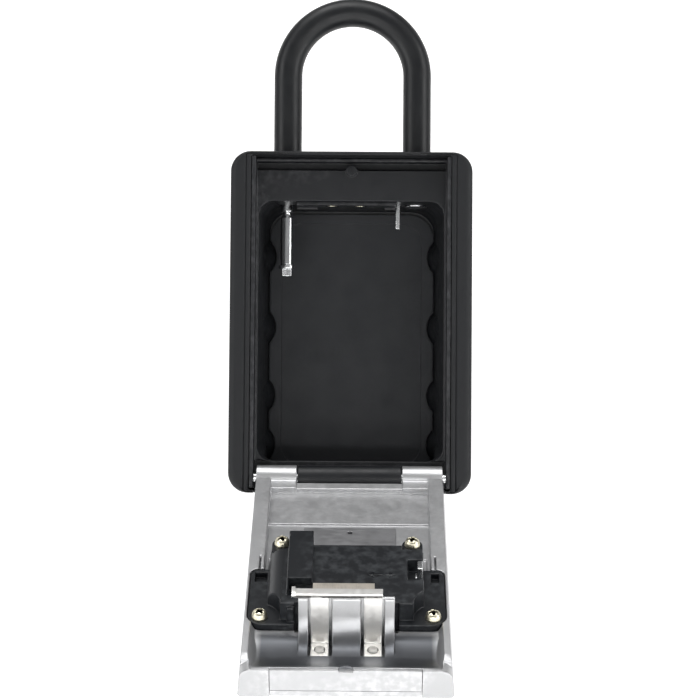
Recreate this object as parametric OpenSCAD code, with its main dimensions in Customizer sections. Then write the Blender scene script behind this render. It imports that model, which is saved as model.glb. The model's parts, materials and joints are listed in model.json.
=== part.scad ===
// Shackle-type key lock box with a combination lock in its bottom-hinged door.
// The case frame has its origin at the middle of the case's front bottom edge: +X right,
// +Y towards the back, +Z up. The door frame has its origin on the hinge axis and is drawn
// closed: X as before, Y into the case (depth), Z along the door towards its top end.

/* [Case] */
// Width of the case over the soft jacket
case_w = 85; // [84:0.5:88]
// Height of the case without the shackle
case_h = 120; // [120:0.5:122]
// Depth of the case from the rim to the back
case_d = 46; // [45:0.5:50]
// Corner radius of the jacket seen from the front
case_corner_r = 7; // [4:0.5:9]
// Width of the jacket's rim strip on each side
jacket_side = 7.3; // [6.5:0.1:7.5]
// Thickness of the jacket over the top, bottom and back
jacket_t = 1.6; // [1.5:0.1:2]
// Depth of the pocket that takes the closed door
mouth_d = 7; // [6.8:0.1:7.5]
// Height of the ceiling of the key space
ceiling_z = 103; // [103:0.1:103.5]

/* [Shackle] */
// Distance between the centres of the two legs
leg_spacing = 46.4; // [44:0.2:48]
// Outer radius of the coated leg
leg_r = 5; // [4.6:0.1:5.05]
// Radius of the steel core
core_r = 4; // [3.5:0.1:4.05]
// Height of the straight legs above the case
leg_straight = 29.7; // [20:0.5:60]
// Distance of the shackle's plane from the rim
leg_y = 21.5; // [21:0.1:22]
// Length of the toe inside the case
toe_insert = 17.5; // [15:0.5:18]

/* [Door] */
// Opening angle at which the door is drawn
door_open = 121.5; // [0:0.5:121.5]
// Half width of the door at its front face
door_half_w = 33.4; // [33.2:0.1:33.4]
// Distance from the hinge axis to the door's top end
door_len = 112.8; // [112.4:0.1:112.8]
// Distance of the hinge axis from the rim plane
hinge_y = 3.5; // [3.4:0.1:3.6]
// Height of the hinge axis above the case's bottom
hinge_z = 5.4; // [5.3:0.1:5.6]
// Radius of the hinge barrel
barrel_r = 4.3; // [4:0.1:4.4]
// Half length of the case's middle knuckle
knuckle_half = 18.1; // [16:0.1:20]

/* [Lock] */
// Radius of a number dial
dial_r = 6.6; // [6.4:0.1:6.7]
// Width of a number dial
dial_w = 5.4; // [5:0.1:5.5]
// Distance from one dial to the next
dial_pitch = 8; // [7.9:0.1:8]
// Distance of the dial axle from the hinge axis
dial_u = 66; // [65.5:0.1:66.5]
// Height of the latch tower above the hinge axis
tower_h = 15.2; // [14:0.1:15.3]
// Width of the sliding dial cover
cover_w = 46.6; // [45:0.1:46.6]

/* [Hidden] */
$fn = 64;

// Overshoot of a cut past the face that it opens
eps = 0.5;
// Small gap left between fitted pieces
gap = 0.1;

// Case
tub_half = case_w / 2 - jacket_side;
mouth_half = tub_half - 1.6;
tub_top = case_h - jacket_t;
tub_back = case_d - 2.6;
cavity_floor = tub_back - 2.3;
cavity_half_front = 32.7;
cavity_half_floor = 30.5;
cavity_bottom = 11.2;
cavity_low = 5.2;
hinge_notch_y = 9.4;
slot_z = 114.2;
slot_depth = 3.5;
boss_z = [17, 35, 60, 86];
boss_r = 7.9;
boss_tip_r = 4;
boss_len = 21;
boss_crest = 28;
lug_r = 2;
lug_z = slot_z - 0.4;
liner_t = 0.8;
strike_screw_x = [-7, 3];
strike_screw_y = 13.2;
strike_head = [2.2, 0.7];

// Shackle
leg_x = leg_spacing / 2;
arch_z = case_h + leg_straight;
crown_z = arch_z + leg_x - leg_r;
sleeve_z = 112.2;
toe_z = case_h - toe_insert;
heel_core_z = 105.8;
heel_neck_z = [98.6, 100.4];
heel_neck_r = 1.4;
heel_end_r = 1.2;
flange_t = 1.4;
rod_r = 2.3;
heel_rod_z = 81.4;
bushing_r = 6.2;
bushing_z = 112;
bolt_lo = [12.8, 17.5, 104.9];
bolt_hi = [18.9, 25.5, 109.4];
bolt_notch = 2;
bolt_travel = 1.6;
tab_lo = [15.8, 19.6, 94.5];
tab_hi = [17.3, 23.4, 105.5];

// Hinge
pin_r = 1.5;
pin_half = mouth_half + 1.3;
knuckle_gap = 0.3;

// Door shell, as depths from the hinge axis (negative is the front)
front_v = -8.4;
rail_v = 2.9;
lip_v = 1.8;
lip_u = 111;
shell_u = 4.9;
channel_half = 23.45;
channel_v = -3.6;
channel_u = 6.6;
panel_v = -4.6;
panel_end_t = 1.2;
tray_v = -2;
rail_in = 27.2;
end_u = 90.5;
dish_v = -0.3;
band_v = 0.6;
dish_half = 30.5;
pocket_v = -0.8;
floor_v = -1.5;
tower_half = 15;
tower_back_u = 91.4;
tower_face_u = 93.8;
cove_r = 9;
leg_slot = [4.5, 11.9];
slot_u = [93.2, 102.4];
tunnel_end_u = 105.4;
tunnel_v = -0.9;

// Dial cover
cover_v = [front_v, -6];
cover_len = 54.4;
tongue_w = 1.3;
detent = [0.6, 33.6];

// Lock
dial_v = 1.2;
axle_r = 1.5;
hub_r = 3;
gate_r = 4.6;
gate_t = 1.9;
low_scoop = [29, 86.8, 8];
chamber = [[-17.3, tray_v - eps, 58.8], [17.3, 8.1, 85.9]];
block_x = [-25.3, 24.4];
block_u = [55, 87.6];
block_v = 9;
tall_v = 11;
flange_v = [-0.4, 2.6];
flange_half = 31.4;
flange_u = [60, 90.3];
ear_v = 7;
top_screws = [[-21.5, 51.9], [21.1, 51.9]];
low_screws = [[-27.5, 86.3], [27.3, 86.3]];
head_r = 2.55;
head_h = 2.5;
shank_r = 1.25;
digits = 10;

// Latch
plate_t = 1.2;
leg_in = [5.4, 11.2];
bar_x = [-17, 11.3];
bar_u = [90.6, 94.6];
bar_v = 15.6;
foot_v = -2.4;
foot_end_u = 101.9;
rivet = [8.3, 98.2];
gate_x = [-10.5, 8.7];
gate_v = [0.6, 1.8];
gate_u = 87.4;
slider_v = [-5.9, panel_v - 0.05];

// ---------- helpers ----------

// Box between its lowest and highest corners
module block(lo, hi) {
  translate(lo) cube(hi - lo);
}

// Cylinder along X
module rod_x(x0, x1, r) {
  translate([x0, 0, 0]) rotate([0, 90, 0]) cylinder(h = x1 - x0, r = r);
}

// Cylinder along Y
module rod_y(y0, y1, r) {
  translate([0, y0, 0]) rotate([-90, 0, 0]) cylinder(h = y1 - y0, r = r);
}

// Cylinder along Z
module rod_z(z0, z1, r) {
  translate([0, 0, z0]) cylinder(h = z1 - z0, r = r);
}

// Rounded rectangle in a plane, from exact arcs
module rounded_rect(lo, hi, r) {
  translate([lo[0] + r, lo[1]]) square([hi[0] - lo[0] - 2 * r, hi[1] - lo[1]]);
  translate([lo[0], lo[1] + r]) square([hi[0] - lo[0], hi[1] - lo[1] - 2 * r]);
  for (x = [lo[0] + r, hi[0] - r], z = [lo[1] + r, hi[1] - r]) {
    translate([x, z]) circle(r = r);
  }
}

// Rounded rectangle of X and Z, extruded along Y
module slab(lo, hi, r, y0, y1) {
  translate([0, y1, 0]) rotate([90, 0, 0]) linear_extrude(y1 - y0) rounded_rect(lo, hi, r);
}

// Outline of depth and length, extruded along X
module profile_x(x0, x1, points) {
  translate([x0, 0, 0]) rotate([90, 0, 90]) linear_extrude(x1 - x0) polygon(points);
}

// Case frame placed so that the origin is at the inside of the shackle's crown
module in_row() {
  translate([0, -leg_y, -crown_z]) children();
}

// Door frame at the drawn opening angle
module on_door() {
  in_row() translate([0, hinge_y, hinge_z]) rotate([door_open, 0, 0]) children();
}

// ---------- case ----------

// Key space with drafted walls
module cavity() {
  hull() {
    slab([-cavity_half_front, cavity_bottom], [cavity_half_front, ceiling_z], 5,
         mouth_d - gap, mouth_d, $fn = 32);
    slab([-cavity_half_floor, cavity_bottom + 0.5], [cavity_half_floor, ceiling_z], 9,
         cavity_floor - gap, cavity_floor, $fn = 32);
  }
  block([-cavity_half_floor, 13.5, cavity_low], [cavity_half_floor, cavity_floor, cavity_bottom + 9]);
}

// Half-round bosses down both side walls
module wall_bosses() {
  intersection() {
    for (side = [-1, 1], z = boss_z) {
      translate([side * (boss_r + boss_crest), cavity_floor - boss_len, z]) rotate([-90, 0, 0])
        cylinder(h = boss_len + eps, r1 = boss_tip_r, r2 = boss_r);
    }
    block([-tub_half + gap, 1, 2], [tub_half - gap, tub_back, tub_top - 1]);
  }
}

module case_tub() {
  color("#26282b") difference() {
    union() {
      difference() {
        block([-tub_half + gap, 0.3, jacket_t + gap], [tub_half - gap, tub_back - gap, tub_top - gap]);
        block([-mouth_half, -1, 0], [mouth_half, mouth_d, case_h]);
        block([-mouth_half, 1, slot_z], [mouth_half, mouth_d + slot_depth, tub_top - 1.4]);
        block([-mouth_half, -1, 0], [mouth_half, hinge_notch_y, cavity_bottom + 0.2]);
        cavity();
      }
      wall_bosses();
      translate([0, mouth_d - 1.2, lug_z]) rod_y(0, 3, lug_r);
      translate([0, hinge_y, hinge_z]) rod_x(-knuckle_half, knuckle_half, barrel_r);
      block([-knuckle_half, hinge_y, hinge_z - barrel_r + 0.3],
            [knuckle_half, hinge_notch_y + 1, hinge_z + barrel_r - 0.3]);
    }
    translate([0, hinge_y, hinge_z]) rod_x(-pin_half - gap, pin_half + gap, pin_r + 0.03);
    for (side = [-1, 1]) {
      translate([side * leg_x, leg_y, bushing_z]) cylinder(h = 10, r = bushing_r + 0.05);
    }
    translate([leg_x, leg_y, 0]) rod_z(ceiling_z - 1, bushing_z + eps, core_r + 0.15);
    translate([-leg_x, leg_y, 0]) rod_z(heel_core_z - 0.3, bushing_z + eps, core_r + 0.15);
    translate([-leg_x, leg_y, 0]) rod_z(ceiling_z - 1, heel_core_z + eps, rod_r + 0.2);
    block(bolt_lo - [0.5, 0.2, 0.2], [leg_x, bolt_hi[1] + 0.2, bolt_hi[2] + 0.2]);
    block([tab_lo[0] - 0.3, tab_lo[1] - 0.2, ceiling_z - 1],
          [tab_hi[0] + bolt_travel + 0.3, tab_hi[1] + 0.2, bolt_lo[2] + eps]);
    strike_holes();
  }
}

module outer_jacket() {
  color("#2f3133") difference() {
    slab([-case_w / 2, 0], [case_w / 2, case_h], case_corner_r, 0, case_d);
    block([-tub_half, -1, jacket_t], [tub_half, tub_back, tub_top]);
    block([-mouth_half, -1, -1], [mouth_half, mouth_d, case_h - 1.5]);
    block([-mouth_half, -1, -1], [mouth_half, hinge_notch_y, jacket_t + 1]);
    for (side = [-1, 1]) {
      translate([side * leg_x, leg_y, tub_top - 1]) cylinder(h = 5, r = leg_r + 0.3);
    }
  }
}

// Mat on the floor of the key space, scalloped round the bosses, with a raised rim
module floor_liner() {
  liner_half = cavity_half_floor - 0.5;
  top = ceiling_z - 1.2;
  color("#1b1d20") difference() {
    slab([-liner_half, cavity_low + 0.6], [liner_half, top], 9, cavity_floor - liner_t, cavity_floor);
    slab([-liner_half + 4.4, cavity_low + 4.6], [liner_half - 4.4, top - 3.4], 7,
         cavity_floor - liner_t - 1, cavity_floor - liner_t + 0.4);
    for (side = [-1, 1], z = boss_z) {
      translate([side * (boss_r + boss_crest), 0, z]) rod_y(cavity_floor - 2, cavity_floor + 1, boss_r + 0.4);
    }
  }
}

// Screw holes of the strike plate, in the ceiling and in the plate
module strike_holes() {
  for (x = strike_screw_x) {
    translate([x, strike_screw_y, ceiling_z - plate_t - eps]) cylinder(h = 7, r = shank_r + 0.05);
  }
}

// Steel plate on the ceiling, whose left lip holds the latch bar
module strike_plate() {
  lip_y = [16.8, 18.7];
  lip_z = ceiling_z - 1.9;
  color("#26282b") difference() {
    union() {
      block([-19.5, 9, ceiling_z - plate_t], [16, 17, ceiling_z]);
      block([-19.5, lip_y[0], lip_z], [-12.2, lip_y[1], ceiling_z]);
      block([11.8, lip_y[0], lip_z], [15.6, lip_y[1], ceiling_z]);
    }
    strike_holes();
    for (x = strike_screw_x) {
      translate([x, strike_screw_y, ceiling_z - plate_t - eps])
        cylinder(h = strike_head[1] + eps, r = strike_head[0] + gap);
    }
  }
}

module strike_screws() {
  color("#c9c6b4") for (x = strike_screw_x) {
    translate([x, strike_screw_y, ceiling_z - plate_t]) {
      cylinder(h = strike_head[1], r = strike_head[0]);
      cylinder(h = 6, r = shank_r);
    }
  }
}

module leg_bushings() {
  color("#1d1f21") for (side = [-1, 1]) {
    translate([side * leg_x, leg_y, bushing_z]) difference() {
      cylinder(h = tub_top - bushing_z - gap, r = bushing_r);
      translate([0, 0, -1]) cylinder(h = 10, r = leg_r + 0.1);
    }
  }
}

// ---------- shackle ----------

// Half ring over the two legs, with a round or hollow section
module arch(r_out, r_in = 0) {
  translate([0, leg_y, arch_z]) rotate([90, 0, 0]) rotate_extrude(angle = 180, $fn = 128)
    translate([leg_x, 0]) difference() {
      circle(r = r_out);
      if (r_in > 0) circle(r = r_in);
    }
}

module shackle_core() {
  color("#b9bcbe") difference() {
    union() {
      arch(core_r);
      translate([leg_x, leg_y, 0]) rod_z(toe_z, arch_z, core_r);
      translate([-leg_x, leg_y, 0]) rod_z(heel_core_z, arch_z, core_r);
      translate([-leg_x, leg_y, 0]) {
        rod_z(heel_neck_z[1], heel_core_z + eps, rod_r);
        rod_z(heel_neck_z[0] - eps, heel_neck_z[1] + eps, heel_neck_r);
        rod_z(heel_rod_z, heel_neck_z[0], rod_r);
        rod_z(heel_rod_z - 4.2, heel_rod_z + eps, heel_end_r);
      }
    }
    block([leg_x - core_r - 1, leg_y - 6, bolt_lo[2] - 0.3],
          [leg_x - core_r + bolt_notch, leg_y + 6, bolt_hi[2] + 0.3]);
  }
}

module shackle_sleeve() {
  color("#1c1d1f") union() {
    arch(leg_r, core_r);
    for (side = [-1, 1]) {
      translate([side * leg_x, leg_y, sleeve_z]) difference() {
        cylinder(h = arch_z - sleeve_z, r = leg_r);
        translate([0, 0, -1]) cylinder(h = arch_z - sleeve_z + 2, r = core_r);
      }
    }
  }
}

// Flange and square end on the heel rod
module heel_nut() {
  color("#c4c7c9") translate([-leg_x, leg_y, 0]) difference() {
    union() {
      rod_z(heel_rod_z - flange_t, heel_rod_z, 2.8);
      translate([0, 0, heel_rod_z - 4]) rotate([0, 0, 45]) cylinder(h = 3, r = 2.4, $fn = 4);
    }
    rod_z(heel_rod_z - 6, heel_rod_z + eps, heel_end_r);
  }
}

module shackle_bolt() {
  color("#c9ccce") union() {
    block(bolt_lo, bolt_hi);
    block(tab_lo, tab_hi);
  }
}

// ---------- hinge ----------

module hinge_pin() {
  color("#cfd2d3") translate([0, hinge_y, hinge_z]) rod_x(-pin_half, pin_half, pin_r);
}

// ---------- door ----------

// Side view of the latch tower: upright face with a round cove at its foot
tower_outline = concat(
  [[tray_v, tower_back_u], [tower_h - 1, tower_back_u], [tower_h, tower_back_u + 1],
   [tower_h, tower_face_u - 0.6], [tower_h - 0.6, tower_face_u]],
  [for (a = [180 : -15 : 90]) [dish_v + cove_r * (1 - sin(a)), tower_face_u + cove_r * (1 + cos(a))]],
  [[tray_v, tower_face_u + cove_r]]
);

// Half-round recess in the door's end edge, opposite the lug on the case
module lug_notch() {
  translate([0, 0, door_len - 0.8]) rod_y(lip_v - 0.7, 4, lug_r + 0.4);
}

// Hollow across the door's end: flat near the lock, steep towards the end, coved at its sides
module dish() {
  bottom_u = tower_face_u + cove_r;
  flat_r = 40;
  steep_r = 17;
  intersection() {
    block([-40, band_v, 80], [40, 10, bottom_u]);
    dish_sides();
  }
  intersection() {
    translate([0, dish_v + flat_r, bottom_u]) rod_x(-40, 40, flat_r);
    block([-40, -5, 80], [40, 10, bottom_u]);
    dish_sides();
  }
  intersection() {
    translate([0, dish_v + steep_r, bottom_u]) rod_x(-40, 40, steep_r);
    block([-40, -5, bottom_u], [40, 10, 120]);
    dish_sides();
  }
}

module dish_sides() {
  side_r = 6;
  translate([0, 0, 85]) linear_extrude(35)
    rounded_rect([-dish_half, dish_v - 1], [dish_half, 15], side_r);
}

// Slope of the rails down to the end edge, and its rounded corners
module end_slope() {
  corner_r = 3.9;
  corner_x = door_half_w - 0.3 - corner_r;
  profile_x(-40, 40, [[rail_v, 105], [lip_v, lip_u], [lip_v, 114], [6, 114], [6, 105]]);
  for (side = [-1, 1]) {
    translate([side * corner_x, lip_v - corner_r, 108]) difference() {
      block([side > 0 ? 0 : -6, 0, 0], [side > 0 ? 6 : 0, 8, 6]);
      rod_z(-1, 8, corner_r);
    }
  }
}

// Flange of the lock housing, with larger corners towards the door's end
module flange_shape(grow, v0, v1) {
  slab([-flange_half - grow, flange_u[0] - grow], [flange_half + grow, 80], 3 + grow, v0, v1);
  slab([-flange_half - grow, 70], [flange_half + grow, flange_u[1] + grow], 5 + grow, v0, v1);
}

module door_knuckles() {
  for (side = [-1, 1]) {
    x0 = side > 0 ? knuckle_half + knuckle_gap : -rail_in - 5.3;
    x1 = side > 0 ? rail_in + 5.3 : -knuckle_half - knuckle_gap;
    rod_x(x0, x1, barrel_r);
    block([x0, -barrel_r, 0], [x1, 1.5, shell_u + 4]);
  }
}

module door_shell() {
  color("#b4b7ba") difference() {
    union() {
      difference() {
        translate([0, 0, shell_u]) linear_extrude(door_len - shell_u)
          polygon([[-32.4, rail_v], [32.4, rail_v], [door_half_w, front_v + 0.8],
                   [door_half_w - 0.8, front_v], [-door_half_w + 0.8, front_v],
                   [-door_half_w, front_v + 0.8]]);
        // Band next to the hinge, pocket, and floor under the lock
        block([-rail_in, 1, shell_u - 1], [rail_in, 4, 8.8]);
        block([-rail_in, pocket_v, 8.6], [rail_in, 4, 28.2]);
        block([-rail_in, floor_v, 28], [rail_in, 4, 62]);
        block([-26, tray_v, 48], [26, 4, end_u]);
        block([-tower_half - 1.2, tray_v, 85], [tower_half + 1.2, 4, tower_back_u]);
        flange_shape(0.2, -0.5, 4);
        dish();
        end_slope();
        // Slits in the rails beside the lock
        for (x = [-28.85, 28.35]) {
          block([x, 0.6, 52.4], [x + 0.5, 4, 60.4]);
        }
      }
      profile_x(-tower_half, tower_half, tower_outline);
      door_knuckles();
    }
    // Front channel, cover grooves and end recess
    block([-channel_half, front_v - 1, channel_u], [channel_half, channel_v, door_len + 1]);
    for (side = [-1, 1]) {
      x0 = side > 0 ? channel_half - 1 : -channel_half - tongue_w - 0.1;
      block([x0, cover_v[1] - 1, channel_u], [x0 + tongue_w + 1.1, cover_v[1] + 0.1, 104]);
    }
    block([-channel_half, front_v - 1, door_len - panel_end_t - gap], [channel_half, 4, door_len + 1]);
    // Dial window
    block([-17.2, channel_v - eps, 58.9], [17.2, 0, 73.4]);
    // Slots of the latch legs, with a covered run for their feet
    for (x = [-leg_slot[1], leg_slot[0]]) {
      w = leg_slot[1] - leg_slot[0];
      block([x, channel_v - eps, slot_u[0]], [x + w, tower_h + 1, slot_u[1]]);
      block([x, channel_v - eps, slot_u[0]], [x + w, tunnel_v, tunnel_end_u]);
    }
    // Spring pocket between the slots
    block([-2.2, channel_v - eps, 93.4], [2.2, -0.5, 101]);
    block([-2.2, channel_v - eps, 100], [2.2, tunnel_v, 106]);
    lug_notch();
    // Stepped bore of the cover's detent
    translate([detent[0], 0, detent[1]]) {
      rod_y(channel_v - eps, 4, 1.15);
      rod_y(channel_v + 0.6, 4, 1.9);
    }
    rod_x(-40, 40, pin_r + 0.06);
    for (s = concat(top_screws, low_screws)) {
      translate([s[0], 0, s[1]]) rod_y(channel_v + 0.6, 5, shank_r + 0.05);
    }
  }
}

// Panel in the front channel, turned over the door's end
module front_panel() {
  half = channel_half - gap;
  color("#d9dbdd") difference() {
    union() {
      block([-half, panel_v, channel_u + gap], [half, channel_v - 0.02, door_len]);
      block([-half, cover_v[1] + 0.1, door_len - panel_end_t], [half, lip_v - 0.05, door_len]);
    }
    for (i = [0 : 3]) {
      block([dial_x(i) - dial_w / 2 - 0.25, panel_v - 1, dial_u - 4.9],
            [dial_x(i) + dial_w / 2 + 0.25, channel_v + 1, dial_u + 4.9]);
    }
    for (side = [-1, 1]) {
      block([side * rivet[0] - 1.7, panel_v - 1, rivet[1] - 1.8],
            [side * rivet[0] + 1.7, channel_v + 1, rivet[1] + 4.8]);
    }
    block([-1, panel_v - 1, 98.8], [1, channel_v + 1, 105.2]);
    translate([detent[0], 0, detent[1]]) rod_y(panel_v - 1, channel_v + 1, 1.15);
    lug_notch();
  }
}

// Sheet that closes the detent's bore from the inner side, with a sight hole
module spring_cover() {
  color("#8d8f91") difference() {
    block([-15, floor_v + 0.02, 30.7], [16, floor_v + 1, 47.9]);
    translate([detent[0], 0, detent[1]]) rod_y(floor_v - 1, 2, 0.8);
  }
}

// Pin that clicks into the cover's underside
module cover_detent() {
  color("#c9ccce") translate([detent[0], 0, detent[1]]) union() {
    rod_y(cover_v[1] + 0.1, -2.5, 1);
    rod_y(-2.9, -2.3, 1.7);
  }
}

// Spring washer between the detent pin and its sheet
module detent_washer() {
  color("#9da1a4") translate([detent[0], -1.9, detent[1]]) rotate([90, 0, 0])
    rotate_extrude($fn = 32) translate([1.2, 0]) circle(r = 0.3);
}

// Cover that slides over the dials, with grip ribs and two guide tongues
module dial_cover() {
  u0 = door_len - cover_len;
  half = cover_w / 2;
  color("#c8cacd") union() {
    difference() {
      union() {
        block([-half, cover_v[0] + 0.4, u0], [half, cover_v[1], door_len]);
        block([-half + 1.2, cover_v[0] + 0.1, u0 + 1.2], [half - 1.2, cover_v[1], door_len - 1.2]);
      }
      block([-half + 3, cover_v[1] - 1.1, u0 + 3], [half - 3, cover_v[1] + 1, door_len - 3]);
    }
    for (side = [-1, 1]) {
      x0 = side > 0 ? half - 1 : -half - tongue_w + 0.1;
      block([x0, cover_v[1] - 0.85, u0 + 2], [x0 + tongue_w + 0.9, cover_v[1], 103.6]);
    }
    for (i = [0 : 4]) {
      translate([0, cover_v[0] + 0.5, u0 + 5 + 2.4 * i]) rod_x(-11, 11, 0.5);
    }
  }
}

// ---------- lock ----------

function dial_x(i) = (i - 1.5) * dial_pitch;
function finger_x(i) = dial_x(i) + dial_w / 2 + 0.35;

module lock_housing() {
  ridge_r = 4.8;
  color("#23262a") difference() {
    union() {
      flange_shape(0, flange_v[0], flange_v[1]);
      block([block_x[0] + ridge_r, tray_v + 0.05, block_u[0]], [block_x[1], block_v, block_u[1]]);
      block([block_x[0], tray_v + 0.05, block_u[0]],
            [block_x[0] + ridge_r + 1, block_v - ridge_r, block_u[1]]);
      translate([block_x[0] + ridge_r, block_v - ridge_r, 0]) rod_z(block_u[0], block_u[1], ridge_r);
      block([-19.1, tray_v + 0.05, 49.7], [-11.2, tall_v, 83]);
      for (s = top_screws) {
        translate([s[0], 0, s[1]]) rod_y(tray_v + 0.05, ear_v, 3.4);
        block([s[0] - 3.4, tray_v + 0.05, s[1]], [s[0] + 3.4, ear_v, block_u[0] + 1]);
      }
      // Rib beside the latch tower
      block([-18.8, flange_v[1] - 0.5, block_u[1] - 0.5], [-16.6, 7.5, block_u[1] + 1.2]);
    }
    block(chamber[0], chamber[1]);
    // Axle seats and screw holes
    translate([0, dial_v, dial_u]) rod_x(-19.6, 19.6, axle_r + 0.05);
    for (s = concat(top_screws, low_screws)) {
      translate([s[0], 0, s[1]]) rod_y(tray_v - 1, tall_v + 1, shank_r + 0.15);
    }
    // Room for a screwdriver round the screws, and for the latch tower
    for (s = top_screws) {
      translate([s[0], 0, s[1]]) rod_y(ear_v, tall_v + 1, head_r + 0.15);
    }
    block([-26, ear_v, 53], [-19.1, tall_v + 1, 57.2]);
    block([17.7, ear_v, 53], [26, tall_v + 1, 57.2]);
    for (side = [-1, 1]) {
      translate([side * low_scoop[0], 0, low_scoop[1]]) rod_y(flange_v[1], tall_v + 1, low_scoop[2]);
    }
    block([-16.4, tray_v - 1, 87], [16.4, tall_v + 1, 92]);
    // Way in for the gate plate, pocket in the top, and the reset slot
    block([gate_x[0] - 0.3, gate_v[0] - 0.3, 85], [gate_x[1] + 0.3, gate_v[1] + 0.3, 88]);
    block([-18.6, 6, 76.6], [-10.8, tall_v + 1, 83.4]);
    block([19.3, 4.4, 63.2], [25, block_v + 1, 74.2]);
    block([17, 4.4, 65.6], [20, 6, 69.4]);
    // Pockets in the flange
    block([-29.8, flange_v[0] + 0.8, 61.8], [-25.9, 4, 66.8]);
    block([27, flange_v[0] + 0.8, 61.8], [29.6, 4, 66.8]);
  }
}

module housing_screws() {
  color("#cfc9a6") {
    for (s = top_screws) {
      translate([s[0], 0, s[1]]) rod_y(ear_v, ear_v + head_h, head_r);
      translate([s[0], 0, s[1]]) rod_y(channel_v + 0.8, ear_v + 0.5, shank_r);
    }
    for (s = low_screws) {
      translate([s[0], 0, s[1]]) rod_y(flange_v[1], flange_v[1] + head_h, head_r);
      translate([s[0], 0, s[1]]) rod_y(channel_v + 0.8, flange_v[1] + 0.5, shank_r);
    }
  }
}

module dial_axle() {
  color("#c5c8ca") translate([0, dial_v, dial_u]) rod_x(-19.5, 19.5, axle_r);
}

// Number dial with finger notches between its ten numbers
module dial(i) {
  color("#24262a") translate([dial_x(i), dial_v, dial_u]) difference() {
    rod_x(-dial_w / 2, dial_w / 2, dial_r);
    rod_x(-dial_w, dial_w, hub_r + 0.02);
    for (k = [0 : digits - 1]) {
      rotate([360 / digits * k, 0, 0]) translate([0, 0, dial_r + 0.35]) rod_x(-dial_w, dial_w, 0.8);
    }
  }
}

// Hub that turns with its dial, with a disc that has the gate notch
module dial_hub(i) {
  x0 = dial_x(i) - dial_w / 2;
  color("#b58f45") translate([0, dial_v, dial_u]) difference() {
    union() {
      rod_x(x0, x0 + dial_w + 0.3, hub_r);
      rod_x(x0 + dial_w + 0.2, x0 + dial_w + 0.2 + gate_t, gate_r);
    }
    rod_x(x0 - 1, x0 + dial_pitch + 1, axle_r + 0.05);
    block([x0 + dial_w + 0.4, -0.8, gate_r - 1.2], [x0 + dial_pitch + 1, 0.8, gate_r + 1]);
  }
}

module dial_1() { dial(0); }
module dial_2() { dial(1); }
module dial_3() { dial(2); }
module dial_4() { dial(3); }
module dial_hub_1() { dial_hub(0); }
module dial_hub_2() { dial_hub(1); }
module dial_hub_3() { dial_hub(2); }
module dial_hub_4() { dial_hub(3); }

// Leaf with one finger behind each dial
module detent_spring() {
  color("#a9adb0") union() {
    block([-16.5, 4.6, 74.4], [16.5, 8.1, 74.8]);
    for (i = [0 : 3]) {
      block([dial_x(i) - 1.8, -0.6, 74.4], [dial_x(i) + 1.8, 5, 74.8]);
      translate([dial_x(i) - 1.8, 0.8, 74.4]) rod_x(0, 3.6, 0.9);
    }
  }
}

// ---------- latch ----------

// Plate that rises beside the latch bar, with four fingers towards the dial hubs
module gate_plate() {
  color("#d8d2c0") union() {
    block([gate_x[0], bar_v - 0.2, gate_u], [gate_x[1], bar_v + plate_t - 0.2, bar_u[0]]);
    block([gate_x[0], gate_v[0], gate_u], [gate_x[1], bar_v + 0.5, gate_u + plate_t]);
    block([gate_x[0], gate_v[0], 78], [gate_x[1], gate_v[1], gate_u + plate_t]);
    block([finger_x(0), gate_v[0], 77.4], [finger_x(3) + 1.5, gate_v[1], 79.8]);
    for (i = [0 : 3]) {
      block([finger_x(i), gate_v[0], 71.4], [finger_x(i) + 1.5, gate_v[1], 79]);
    }
  }
}

module latch_plate() {
  color("#dcdad4") difference() {
    union() {
      block([bar_x[0], bar_v, bar_u[0]], [bar_x[1], bar_v + plate_t, bar_u[1]]);
      block([bar_x[0], bar_v, bar_u[0]], [bar_x[0] + plate_t, bar_v + 1.9, bar_u[1]]);
      for (x = [-leg_in[1], leg_in[0]]) {
        w = leg_in[1] - leg_in[0];
        block([x, foot_v, bar_u[1] - plate_t], [x + w, bar_v + 0.5, bar_u[1]]);
        block([x, foot_v, bar_u[1] - plate_t], [x + w, foot_v + plate_t, foot_end_u]);
      }
    }
    for (side = [-1, 1]) {
      translate([side * rivet[0], 0, rivet[1]]) rod_y(foot_v - 1, foot_v + 3, 1.2);
    }
  }
}

module latch_rivets() {
  color("#b9b7b0") for (side = [-1, 1]) {
    translate([side * rivet[0], 0, rivet[1]]) {
      rod_y(slider_v[1], foot_v + 1.5, 1.2);
      rod_y(foot_v + plate_t, foot_v + plate_t + 0.6, 1.8);
      rod_y(slider_v[1], foot_v, 1.5);
    }
  }
}

// Thumb slider on the front, under the cover, with a post for the spring
module opening_slider() {
  color("#c3c5c8") union() {
    block([-13, slider_v[0] + 0.4, 89], [13, slider_v[1], 104]);
    for (i = [0 : 5]) {
      block([-10, slider_v[0], 90.4 + 2.2 * i], [10, slider_v[1], 91.4 + 2.2 * i]);
    }
    block([-0.8, slider_v[1] - 0.2, 101], [0.8, tunnel_v - 0.1, 102.2]);
  }
}

// Compression spring behind the slider's post, drawn as its stack of coils
module latch_spring() {
  color("#9da1a4") for (k = [0 : 5]) {
    translate([0, -2.05, 94 + 1.1 * k]) rotate_extrude($fn = 32) translate([1.2, 0]) circle(r = 0.3);
  }
}

module reset_lever() {
  color("#d5d7d8") union() {
    block([22.5, 5, 64.6], [24.2, block_v + 0.6, 69]);
    block([21.8, 4.6, 66], [24.2, 5.8, 69]);
  }
}

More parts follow.
